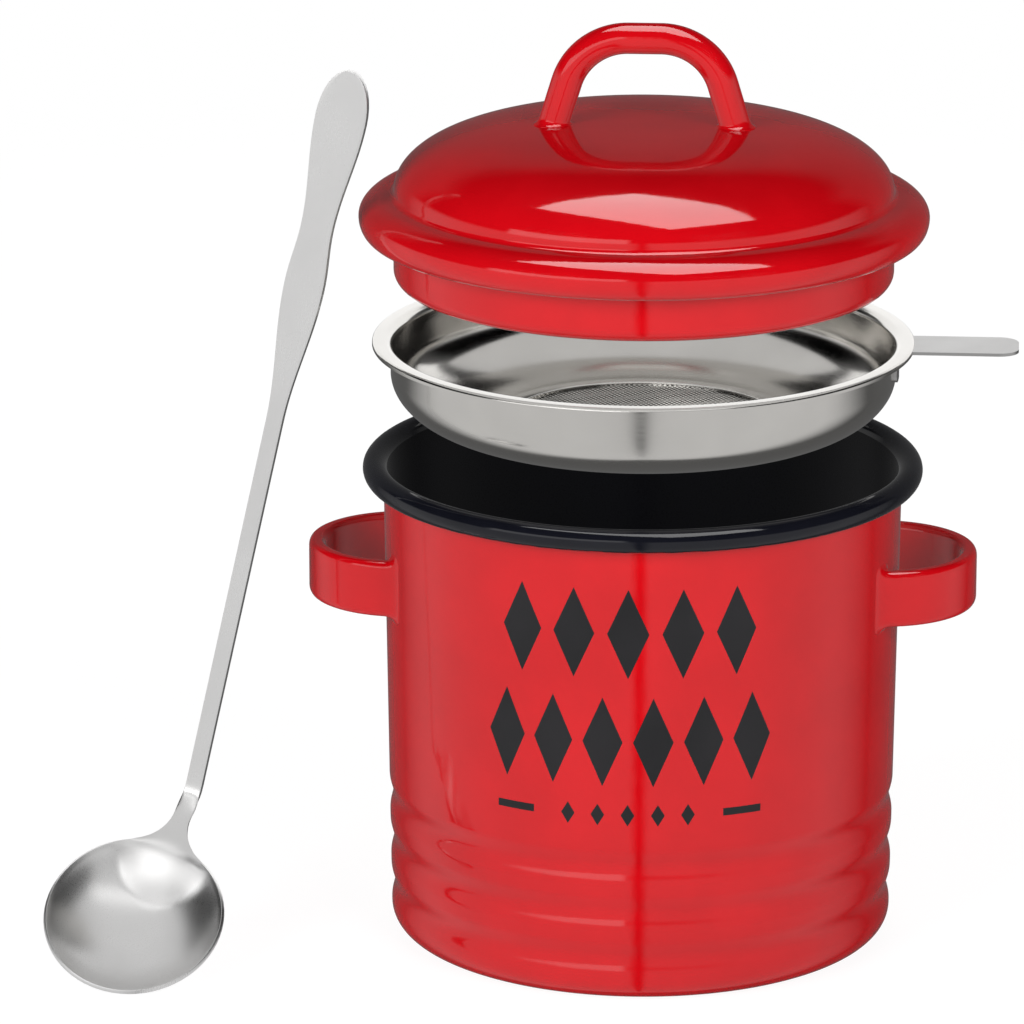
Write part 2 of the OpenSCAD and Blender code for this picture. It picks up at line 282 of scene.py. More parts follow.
# --- Finishes -------------------------------------------------------------------------------------------


class Grain(Enum):
    """The direction of the fine lines on a steel piece."""

    TURNED = "round the axis"
    ALONG_X = "along the strip"
    ALONG_SHAFT = "along the spoon"


class Shader:
    """A material's nodes, added one by one round its main shader."""

    def __init__(self, name: str) -> None:
        """Starts a material that has only its main shader."""
        self.material = bpy.data.materials.new(name)
        self.material.use_nodes = True
        self.nodes = self.material.node_tree.nodes
        self.links = self.material.node_tree.links
        self.main = self.nodes["Principled BSDF"]

    def add(self, kind: str, settings: Optional[dict] = None, **sockets: object) -> bpy.types.Node:
        """Adds a node.

        Args:
            kind: The node's type without its "ShaderNode" prefix.
            settings: Properties of the node.
            **sockets: Values or output sockets for its inputs, with "_" for a space, or "i0" for the first.

        Returns:
            The node.
        """
        node = self.nodes.new("ShaderNode" + kind)
        for name, value in (settings or {}).items():
            setattr(node, name, value)
        for name, value in sockets.items():
            numbered = name[0] == "i" and name[1:].isdigit()
            socket = node.inputs[int(name[1:]) if numbered else name.replace("_", " ")]
            if isinstance(value, bpy.types.NodeSocket):
                self.links.new(value, socket)
            else:
                socket.default_value = value
        return node

    def place(self) -> bpy.types.NodeSocket:
        """The surface point in the object's own coordinates."""
        return self.add("TexCoord").outputs["Object"]

    def maths(self, operation: str, a: object, b: object) -> bpy.types.NodeSocket:
        """One sum on two values."""
        return self.add("Math", {"operation": operation}, i0=a, i1=b).outputs[0]

    def noise(self, vector: bpy.types.NodeSocket, size: float, detail: float = 2.0) -> bpy.types.NodeSocket:
        """Noise with features of a real size, in metres."""
        return self.add("TexNoise", None, Vector=vector, Scale=1 / size, Detail=detail).outputs["Fac"]

    def ramp(self, value: object, low: float, high: float, to_low: float,
             to_high: float) -> bpy.types.NodeSocket:
        """Maps a range of values onto another one, and holds it there at both ends."""
        return self.add("MapRange", None, i0=value, i1=low, i2=high, i3=to_low, i4=to_high).outputs[0]

    def spread(self, where: bpy.types.NodeSocket) -> bpy.types.NodeSocket:
        """Distance of a point from the Z axis."""
        part = self.add("SeparateXYZ", None, Vector=where)
        flat = self.add("CombineXYZ", None, X=part.outputs[0], Y=part.outputs[1]).outputs[0]
        return self.add("VectorMath", {"operation": "LENGTH"}, i0=flat).outputs["Value"]

    def blend(self, amount: object, a: object, b: object) -> bpy.types.NodeSocket:
        """Mixes two colours."""
        node = self.add("Mix", {"data_type": "RGBA"}, i0=amount)
        for socket, value in ((node.inputs[6], a), (node.inputs[7], b)):
            if isinstance(value, bpy.types.NodeSocket):
                self.links.new(value, socket)
            else:
                socket.default_value = (*value, 1.0)
        return node.outputs[2]

    def bump(self, height: object, depth: float,
             under: Optional[bpy.types.NodeSocket] = None) -> bpy.types.NodeSocket:
        """Relief of a real depth, in metres, over another relief or the bare surface."""
        sockets = {"Height": height, "Distance": depth, "Strength": 1.0}
        if under is not None:
            sockets["Normal"] = under
        return self.add("Bump", None, **sockets).outputs["Normal"]

    def feed(self, **sockets: object) -> None:
        """Sets or links inputs of the main shader."""
        for name, value in sockets.items():
            socket = self.main.inputs[name.replace("_", " ")]
            if isinstance(value, bpy.types.NodeSocket):
                self.links.new(value, socket)
            elif isinstance(value, tuple) and len(value) == 3:
                socket.default_value = (*value, 1.0)
            else:
                socket.default_value = value


@dataclass(frozen=True)
class Enamel:
    """Glass enamel fired onto steel: deep colour, a hard gloss and the soft ripple of a dipped coat."""

    name: str
    colour: tuple[float, float, float]
    deep: tuple[float, float, float]
    ripple: float = 0.016 * MM
    ripple_size: float = 3.2 * MM
    wave: float = 0.05 * MM
    wave_size: float = 24 * MM
    skin_size: float = 0.8 * MM
    gloss_size: float = 14 * MM
    depth_size: float = 22 * MM
    smoothest: float = 0.05
    dullest: float = 0.09

    def coat(self, shader: Shader) -> bpy.types.NodeSocket:
        """Sets gloss and ripple, and returns the colour of the bare enamel."""
        where = shader.place()
        wave = shader.bump(shader.noise(where, self.wave_size, 1.0), self.wave)
        ripple = shader.bump(shader.noise(where, self.ripple_size, 1.0), self.ripple, wave)
        skin = shader.bump(shader.noise(where, self.skin_size, 2.0), self.ripple * 0.03, ripple)
        gloss = shader.ramp(shader.noise(where, self.gloss_size, 3.0), 0.3, 0.7, self.smoothest, self.dullest)
        shader.feed(Roughness=gloss, IOR=1.5, Normal=skin)
        depth = shader.ramp(shader.noise(where, self.depth_size, 4.0), 0.35, 0.65, 0.0, 1.0)
        return shader.blend(depth, self.colour, self.deep)

    def material(self) -> bpy.types.Material:
        """Makes the plain enamel."""
        shader = Shader(self.name)
        shader.feed(Base_Color=self.coat(shader))
        return shader.material


@dataclass(frozen=True)
class DullEnamel(Enamel):
    """Enamel with less gloss: the black transfer print, and the pot's deep inside, whose darker black is
    painted shade.
    """

    dullness: float = 0.42
    dullness_spread: float = 0.06
    grain_size: float = 0.35 * MM
    shine: float = 0.25

    def material(self) -> bpy.types.Material:
        """Makes the dull enamel."""
        shader = Shader(self.name)
        colour = self.coat(shader)
        grain = shader.noise(shader.place(), self.grain_size, 3.0)
        rough = shader.ramp(grain, 0.3, 0.7, self.dullness - self.dullness_spread,
                            self.dullness + self.dullness_spread)
        shader.feed(Base_Color=colour, Roughness=rough, Specular_IOR_Level=self.shine)
        return shader.material


@dataclass(frozen=True)
class RimEnamel(Enamel):
    """The black enamel of the pot, which ends on the underside of the rim in a slightly wavering line."""

    under_colour: tuple[float, float, float] = (0.5, 0.004, 0.008)
    shine: float = 0.3
    line_radius: float = 66 * MM
    line_height: float = 118 * MM
    waver: float = 0.25 * MM
    waver_size: float = 5 * MM
    line_soft: float = 0.06 * MM

    def material(self) -> bpy.types.Material:
        """Makes the black enamel with the red that begins under the rim."""
        shader = Shader(self.name)
        black = self.coat(shader)
        where = shader.place()
        level = shader.add("SeparateXYZ", None, Vector=where).outputs[2]
        waver = shader.ramp(shader.noise(where, self.waver_size, 2.0), 0.2, 0.8, -self.waver, self.waver)
        height = shader.maths("ADD", level, waver)
        low, high = self.line_height - self.line_soft, self.line_height + self.line_soft
        below = shader.ramp(height, low, high, 1.0, 0.0)
        outside = shader.ramp(shader.spread(where), self.line_radius, self.line_radius + 0.1 * MM, 0.0, 1.0)
        under = shader.maths("MULTIPLY", below, outside)
        shader.feed(Base_Color=shader.blend(under, black, self.under_colour), Specular_IOR_Level=self.shine)
        return shader.material


@dataclass(frozen=True)
class Steel:
    """Stainless steel with fine lines left by its polishing."""

    name: str
    colour: tuple[float, float, float]
    roughness: float
    spread: float
    line_depth: float
    grain: Grain
    lean: float = 0.0
    turned_line: float = 0.25 * MM
    drawn_line: float = 0.12 * MM
    strip_length: float = 9 * MM
    shaft_length: float = 12 * MM
    stain_size: float = 18 * MM
    dent_size: float = 11 * MM

    def material(self) -> bpy.types.Material:
        """Makes the steel."""
        shader = Shader(self.name)
        where = shader.place()
        along = self.along(shader, where)
        lines = shader.noise(along, 1.0, 3.0)
        stain = shader.noise(where, self.stain_size, 3.0)
        wear = shader.maths("ADD", shader.maths("MULTIPLY", lines, 0.6), shader.maths("MULTIPLY", stain, 0.4))
        rough = shader.ramp(wear, 0.3, 0.7, self.roughness - self.spread, self.roughness + self.spread)
        tone = shader.ramp(stain, 0.3, 0.7, 0.0, 1.0)
        darker = tuple(c * 0.93 for c in self.colour)
        dents = shader.bump(shader.noise(where, self.dent_size, 1.0), self.line_depth * 2)
        shader.feed(Base_Color=shader.blend(tone, self.colour, darker), Metallic=1.0, Roughness=rough,
                    Normal=shader.bump(lines, self.line_depth, dents))
        return shader.material

    def along(self, shader: Shader, where: bpy.types.NodeSocket) -> bpy.types.NodeSocket:
        """Coordinates in which the lines are long in one direction and fine across it."""
        if self.grain is Grain.TURNED:
            level = shader.add("SeparateXYZ", None, Vector=where).outputs[2]
            fine = 1 / self.turned_line
            return shader.add("CombineXYZ", None, X=shader.maths("MULTIPLY", shader.spread(where), fine),
                              Y=shader.maths("MULTIPLY", level, fine)).outputs[0]
        across = 1 / self.drawn_line
        if self.grain is Grain.ALONG_X:
            stretch = (1 / self.strip_length, across, across)
        else:
            stretch = (across, across, 1 / self.shaft_length)
        turned = (0, self.lean, 0)
        return shader.add("Mapping", None, Vector=where, Rotation=turned, Scale=stretch).outputs[0]


class Finishes:
    """All finishes of the object, made once."""

    def __init__(self, pot: "Pot") -> None:
        """Makes each material."""
        red, deep_red = (0.50, 0.0025, 0.0060), (0.45, 0.0018, 0.0048)
        black, soft_black = (0.0060, 0.0064, 0.0100), (0.0040, 0.0042, 0.0068)
        self.red = Enamel("red_enamel", red, deep_red).material()
        self.black = Enamel("black_enamel", black, soft_black).material()
        # A darker copy of the black enamel with a weaker shine, for the pot's deep inside faces: painted
        # shade.
        self.inside = DullEnamel("shaded_inside_enamel", (0.0030, 0.0031, 0.0046), (0.0022, 0.0023, 0.0034),
                                 dullness=0.3, shine=0.06).material()
        self.rim = RimEnamel("rim_enamel", black, soft_black, under_colour=red, line_radius=pot.crown_r,
                             line_height=pot.crown_z - 2.25 * MM).material()
        self.print = DullEnamel("printed_ornament", (0.014, 0.0135, 0.015), (0.010, 0.010, 0.011)).material()
        self.polished = Steel("polished_steel", (0.65, 0.634, 0.607),
                              0.16, 0.05, 0.0012 * MM, Grain.TURNED).material()
        self.mesh = Steel("mesh_steel", (0.66, 0.65, 0.63),
                          0.24, 0.05, 0.001 * MM, Grain.ALONG_X).material()
        # A dark copy of the mesh steel for the walls of the holes: painted shade inside the holes.
        self.hole = Steel("punched_edge", (0.10, 0.098, 0.094),
                          0.40, 0.05, 0.001 * MM, Grain.ALONG_X).material()
        self.satin = Steel("satin_steel", (0.46, 0.455, 0.45),
                           0.34, 0.05, 0.004 * MM, Grain.ALONG_X).material()
        self.spoon = Steel("spoon_steel", (0.80, 0.795, 0.79), 0.30, 0.05, 0.0016 * MM, Grain.ALONG_SHAFT,
                           lean=math.radians(-12.5)).material()


def lit_group(name: str) -> bpy.types.Collection:
    """The collection of pieces that share their own lamps."""
    return bpy.data.collections.get(name) or bpy.data.collections.new(name)


def dress(piece: bpy.types.Object, material: bpy.types.Material, body: str, slot: str,
          nodes: Sequence[str] = ()) -> None:
    """Gives a piece its material, puts it on the body that carries it and hides the nodes that it replaces.

    Args:
        piece: The finished piece.
        material: Its material.
        body: Body of the frame that carries it.
        slot: Name of the record's material slot; only whether it ends in steel is read, to choose the lamps
            that light the piece.
        nodes: Nodes of the frame that it replaces.
    """
    piece.data.materials.clear()
    piece.data.materials.append(material)
    lit_group("steel" if slot.endswith("steel") else "enamel").objects.link(piece)
    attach(piece, body)
    if nodes:
        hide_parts(*nodes)
    LOG.info("%s: %d faces, on %s", piece.name, len(piece.data.polygons), body)


# --- Pot ------------------------------------------------------------------------------------------------


@dataclass(frozen=True)
class PrintRow:
    """One row of printed lozenges: how many, how far apart, at what height and how large."""

    count: int
    pitch: float
    z: float
    width: float
    height: float


@dataclass
class Pot:
    """The enamelled pot: a pressed body with a curled rim, black lining, two strap ears and an ornament."""

    wall: float = 0.6 * MM
    lining: float = 0.2 * MM
    curl: float = 2.2 * MM
    foot_in: float = 1.8 * MM
    base_round: float = 6 * MM
    groove_count: int = 3
    groove_rise: float = 0.5 * MM
    groove_step: float = 12 * MM
    groove_w: float = 10 * MM
    groove_d: float = 0.9 * MM
    curl_end: float = -130
    curl_steps: int = 36
    lining_end: float = -75
    ear_t: float = 4 * MM
    ear_edge: float = 1.8 * MM
    ear_sunk: float = 0.35 * MM
    weld: float = 2.4 * MM
    print_t: float = 0.05 * MM
    print_z: float = 75 * MM
    print_rows: tuple[PrintRow, ...] = (
        PrintRow(5, 13.6 * MM, 96.5 * MM, 10.4 * MM, 23 * MM),
        PrintRow(6, 12.6 * MM, 68.5 * MM, 10.0 * MM, 23 * MM),
        PrintRow(5, 7.5 * MM, 49.5 * MM, 3.4 * MM, 5.6 * MM))
    rule_x: float = 29 * MM
    rule_w: float = 10 * MM
    rule_h: float = 1.9 * MM
    rim_r: float = field(init=False)
    height: float = field(init=False)

    def __post_init__(self) -> None:
        """Reads the pot's reach from the frame."""
        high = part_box("pot_lining")[1]
        self.rim_r, self.height = high.x, high.z

    @property
    def bead(self) -> float:
        """Radius of the rolled rim with its enamel."""
        return self.curl + self.wall + self.lining

    @property
    def crown_r(self) -> float:
        """Distance of the rim's crown from the axis."""
        return self.rim_r - self.bead

    @property
    def crown_z(self) -> float:
        """Height of the middle of the rim's round section."""
        return self.height - self.bead

    def wall_r(self, z: float) -> float:
        """Radius of the wall's outer face at a height."""
        return self.crown_r - self.curl - self.foot_in * (1 - z / self.crown_z)

    def face(self) -> Path:
        """The red face, from the middle of the base out, up the wall and round the curl."""
        path: Path = [(0.0, 0.0)]
        corner = (self.wall_r(self.base_round) - self.base_round, self.base_round)
        path += arc(corner, self.base_round, -90, 0, 16)
        steps = 20
        for i in range(self.groove_count):
            middle = self.base_round + self.groove_rise + self.groove_w / 2 + i * self.groove_step
            for k in range(steps + 1):
                depth = eased(0, self.groove_d, 1 - abs(2 * k / steps - 1))
                z = middle + self.groove_w * (k / steps - 0.5)
                path.append((self.wall_r(z) - depth, z))
        top = path[-1][1]
        levels = [top + (self.crown_z - top) * i / 12 for i in range(1, 12)]
        path += [(self.wall_r(z), z) for z in levels]
        path += arc((self.crown_r, self.crown_z), self.curl, 180, self.curl_end, self.curl_steps)
        return path

    def build(self, finishes: "Finishes") -> None:
        """Builds and dresses the pot."""
        face = self.face()
        shell = lathe("pot_body", sheet(face, self.wall))
        shell.visible_glossy = False
        dress(shell, finishes.red, "pot", "red_enamel", ["pot_shell"])
        inner = beside(face, [self.wall] * len(face))
        bare = round(self.curl_steps * (self.lining_end - self.curl_end) / (180 - self.curl_end))
        inner = inner[:len(inner) - bare]
        thin = [self.lining * min(1.0, 0.1 + 0.3 * (len(inner) - 1 - i)) for i in range(len(inner))]
        lining = lathe("pot_black_enamel", inner + beside(inner, thin)[::-1])
        lining.visible_glossy = False
        dress(lining, finishes.rim, "pot", "black_enamel", ["pot_lining"])
        # The deep inside faces get a darker black than the rim: painted shade in the pot's hollow.
        deep = [f.index for f in lining.data.polygons
                if f.center.z < self.crown_z and f.center.xy.length < self.crown_r - self.curl]
        add_finish(lining, finishes.inside, deep)
        for node, side in (("right_ear", 1), ("left_ear", -1)):
            ear = self.ear(node + "_strap")
            if side < 0:
                place(ear, Matrix.Scale(-1, 4, Vector((1, 0, 0))))
                finish_mesh(ear, 60)
            ear.visible_glossy = False
            dress(ear, finishes.red, "pot", "red_enamel", [node])
        dress(self.ornament(), finishes.print, "pot", "black_enamel")

    def ear(self, name: str) -> bpy.types.Object:
        """Bends the right ear's strap, with a weld fillet where each end meets the wall."""
        low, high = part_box("right_ear")
        centre_x, radius = high.x - high.y, high.y - self.ear_t / 2
        middle_z, height = (low.z + high.z) / 2, high.z - low.z
        meet = (self.wall_r(middle_z) ** 2 - centre_x**2 - radius**2) / (2 * centre_x * radius)
        end = math.acos(meet)

        def at(angle: float, heading: float, grow: float) -> Station:
            """The strap's section at an angle round the ear."""
            x, y = centre_x + radius * math.cos(angle), radius * math.sin(angle)
            return Station(x, y, heading, self.ear_t + grow, height + grow)

        half: list[Station] = []
        wall_side = math.atan2(-radius * math.sin(end), centre_x + radius * math.cos(end))
        for share in (-self.ear_sunk / self.weld, 0.01, 0.05, 0.12, 0.25, 0.4, 0.55, 0.75, 1.0, 1.3):
            distance = share * self.weld
            angle = -end + distance / radius
            grow = 2 * fillet_growth(distance, self.weld)
            heading = eased(wall_side, angle + math.pi / 2, distance / (1.3 * self.weld))
            half.append(at(angle, heading, grow))
        begin = -end + 1.6 * self.weld / radius
        for i in range(25):
            angle = begin * (1 - i / 24)
            half.append(at(angle, angle + math.pi / 2, 0.0))
        other = [Station(s.x, -s.y, math.pi - s.heading, s.width, s.height) for s in half[-2::-1]]
        ear = sweep(name, half + other, self.ear_edge * 1.4, 8)
        place(ear, Matrix.Translation((0, 0, middle_z)))
        return ear

    def ornament(self) -> bpy.types.Object:
        """Prints rows of lozenges and two short rules on the front, wrapped round the wall."""
        marks = []
        for row in self.print_rows:
            for i in range(row.count):
                marks.append(self.lozenge((i - (row.count - 1) / 2) * row.pitch, row))
        for side in (-1, 1):
            marks.append(self.rule(side * self.rule_x, self.print_rows[-1].z, self.rule_w, self.rule_h))
        clear_selection()
        for mark in marks:
            mark.select_set(True)
        bpy.context.view_layer.objects.active = marks[0]
        bpy.ops.object.join()
        ornament = bpy.context.object
        ornament.name = "printed_ornament"
        ornament.visible_glossy = False
        width = ornament.dimensions.x
        radius = self.wall_r(self.print_z) + self.print_t / 2
        add_modifier(ornament, "SIMPLE_DEFORM", deform_method="BEND", deform_axis="Z", angle=width / radius)
        lean = math.atan(self.foot_in / self.crown_z)
        upright = Matrix.Translation((0, -radius, self.print_z)) @ Matrix.Rotation(lean, 4, "X")
        place(ornament, upright @ Matrix.Translation((0, 0, -self.print_z)))
        add_modifier(ornament, "SOLIDIFY", thickness=self.print_t, offset=0)
        finish_mesh(ornament, 30)
        return ornament

    def lozenge(self, x: float, row: PrintRow) -> bpy.types.Object:
        """A flat lozenge of a row, turned onto its corner."""
        return self.mark(x, row.z, row.width / math.sqrt(2), row.height / math.sqrt(2), math.pi / 4, 10, 10)

    def rule(self, x: float, z: float, w: float, h: float) -> bpy.types.Object:
        """A short level rule."""
        return self.mark(x, z, w, h, 0.0, 12, 2)

    def mark(self, x: float, z: float, w: float, h: float, turned: float, across: int,
             down: int) -> bpy.types.Object:
        """A flat mark in the XZ plane, cut into a grid so that it can follow the wall.

        Args:
            x: Place across the front.
            z: Height of its middle.
            w: Stretch across.
            h: Stretch upwards.
            turned: Angle that the square grid is turned by before it is stretched.
            across: Cuts across.
            down: Cuts downwards.

        Returns:
            The mark.
        """
        clear_selection()
        bpy.ops.mesh.primitive_grid_add(x_subdivisions=across, y_subdivisions=down, size=1,
                                        rotation=(math.pi / 2, 0, 0))
        mark = bpy.context.object
        bpy.ops.object.transform_apply(rotation=True)
        bpy.ops.object.mode_set(mode="EDIT")
        bpy.ops.mesh.select_all(action="SELECT")
        turn(turned, "Y", Vector((0, 0, 0)))
        bpy.ops.transform.resize(value=(w, 1, h), center_override=(0, 0, 0))
        bpy.ops.transform.translate(value=(x, 0, z))
        bpy.ops.object.mode_set(mode="OBJECT")
        return mark


# --- Strainer -------------------------------------------------------------------------------------------


@dataclass
class Strainer:
    """The steel strainer: a thin bowl with a flange, a perforated disc, its clamp ring and a flat handle."""

    metal: float = 0.5 * MM
    bowl_round: float = 22 * MM
    bowl_turn: float = 14 * MM
    flange_round: float = 1.8 * MM
    edge_round: float = 0.4 * MM
    edge_drop: float = 1.3 * MM
    hole_pitch: float = 1.3 * MM
    hole_bar: float = 0.42 * MM
    field_r: float = 37 * MM
    ring_w: float = 4.5 * MM
    ring_lip: float = 0.8 * MM
    ring_round: float = 0.4 * MM
    flange_r: float = field(init=False)
    top: float = field(init=False)
    depth: float = field(init=False)
    bowl_r: float = field(init=False)
    mesh_z: float = field(init=False)
    mesh_t: float = field(init=False)

    def __post_init__(self) -> None:
        """Reads the strainer's reach from the frame."""
        low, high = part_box("strainer_bowl")
        self.flange_r, self.top, self.depth = -low.x, high.z, high.z - low.z
        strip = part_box("strainer_handle")
        self.bowl_r = math.hypot(strip[0].x, strip[1].y)
        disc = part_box("strainer_mesh")
        self.mesh_z, self.mesh_t = disc[0].z, disc[1].z - disc[0].z

    def build(self, finishes: "Finishes") -> None:
        """Builds and dresses the strainer."""
        dress(self.bowl(), finishes.polished, "strainer", "polished_steel", ["strainer_bowl"])
        disc = self.disc()
        dress(disc, finishes.mesh, "strainer", "polished_steel", ["strainer_mesh"])
        # The hole walls get the dark steel: painted shade inside the holes.
        add_finish(disc, finishes.hole, [f.index for f in disc.data.polygons if abs(f.normal.z) < 0.5])
        dress(self.ring(), finishes.polished, "strainer", "polished_steel", ["mesh_ring"])
        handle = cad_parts["strainer_handle"]
        handle.data.materials.clear()
        handle.data.materials.append(finishes.satin)
        lit_group("steel").objects.link(handle)

    def bowl(self) -> bpy.types.Object:
        """Turns the bowl with its flange and rolled-down edge."""
        corner = (self.bowl_r + self.flange_round, -self.metal - self.flange_round)
        edge = (self.flange_r - self.metal - self.edge_round, -self.metal - self.edge_round)
        mesh_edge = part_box("mesh_ring")[1].x - self.ring_w
        path: Path = [(mesh_edge, -self.depth)]
        for x, z in arc((0, 0), 1, -90, 0, 32):
            path.append((self.bowl_r + self.bowl_round * (x - 1), self.bowl_turn * (z + 1) - self.depth))
        path += arc(corner, self.flange_round, 180, 90, 12)
        path += arc(edge, self.edge_round, 90, 0, 8)
        path.append((self.flange_r - self.metal, -self.edge_drop))
        return lathe("strainer_pan", sheet(path, self.metal), self.top, 50)

    def ring(self) -> bpy.types.Object:
        """Turns the clamp ring, with its rounded top and the lip round the mesh's edge."""
        low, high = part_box("mesh_ring")
        outer, inner, top = high.x, high.x - self.ring_w, high.z - low.z
        round_r, lip = self.ring_round, outer - self.ring_lip
        path: Path = [(lip, self.mesh_t), (lip, 0.0), (outer, 0.0)]
        path += arc((outer - round_r, top - round_r), round_r, 0, 90, 8)
        path += arc((inner + round_r, top - round_r), round_r, 90, 180, 8)
        path.append((inner, self.mesh_t))
        return lathe("clamp_ring", path, low.z, 50)

    def disc(self) -> bpy.types.Object:
        """Punches the disc: one six-sided cell with its hole, set out in rows and trimmed to a circle."""
        row = self.hole_pitch * math.sqrt(3) / 2
        clear_selection()
        cell_r = self.hole_pitch / math.sqrt(3)
        bpy.ops.mesh.primitive_circle_add(vertices=6, radius=cell_r, fill_type="NGON")
        disc = bpy.context.object
        disc.name = "punched_disc"
        bpy.ops.object.mode_set(mode="EDIT")
        bpy.ops.mesh.select_mode(type="FACE")
        bpy.ops.mesh.select_all(action="SELECT")
        bpy.ops.mesh.inset(thickness=self.hole_bar / 2)
        bpy.ops.mesh.delete(type="FACE")
        bpy.ops.object.mode_set(mode="OBJECT")
        columns = math.ceil(2 * self.field_r / self.hole_pitch) + 2
        pairs = math.ceil(self.field_r / row) + 1
        steps = ((2, (self.hole_pitch / 2, row, 0)), (columns, (self.hole_pitch, 0, 0)),
                 (pairs, (0, 2 * row, 0)))
        for count, step in steps:
            add_modifier(disc, "ARRAY", count=count, use_relative_offset=False, use_constant_offset=True,
                         constant_offset_displace=step)
        middle = (-(columns - 1) / 2 * self.hole_pitch, -(pairs - 0.5) * row, self.mesh_z)
        place(disc, Matrix.Translation(middle))
        outside = [v.index for v in disc.data.vertices if math.hypot(v.co.x, v.co.y) > self.field_r]
        select_vertices(disc, outside)
        bpy.ops.mesh.delete(type="VERT")
        bpy.ops.mesh.select_all(action="SELECT")
        bpy.ops.mesh.remove_doubles(threshold=0.02 * MM)
        bpy.ops.mesh.normals_make_consistent(inside=False)
        bpy.ops.object.mode_set(mode="OBJECT")
        upwards = 1 if disc.data.polygons[0].normal.z > 0 else -1
        add_modifier(disc, "SOLIDIFY", thickness=self.mesh_t, offset=upwards)
        select_only(disc)
        bpy.ops.object.shade_smooth_by_angle(angle=math.radians(30))
        return disc


# --- Lid ------------------------------------------------------------------------------------------------


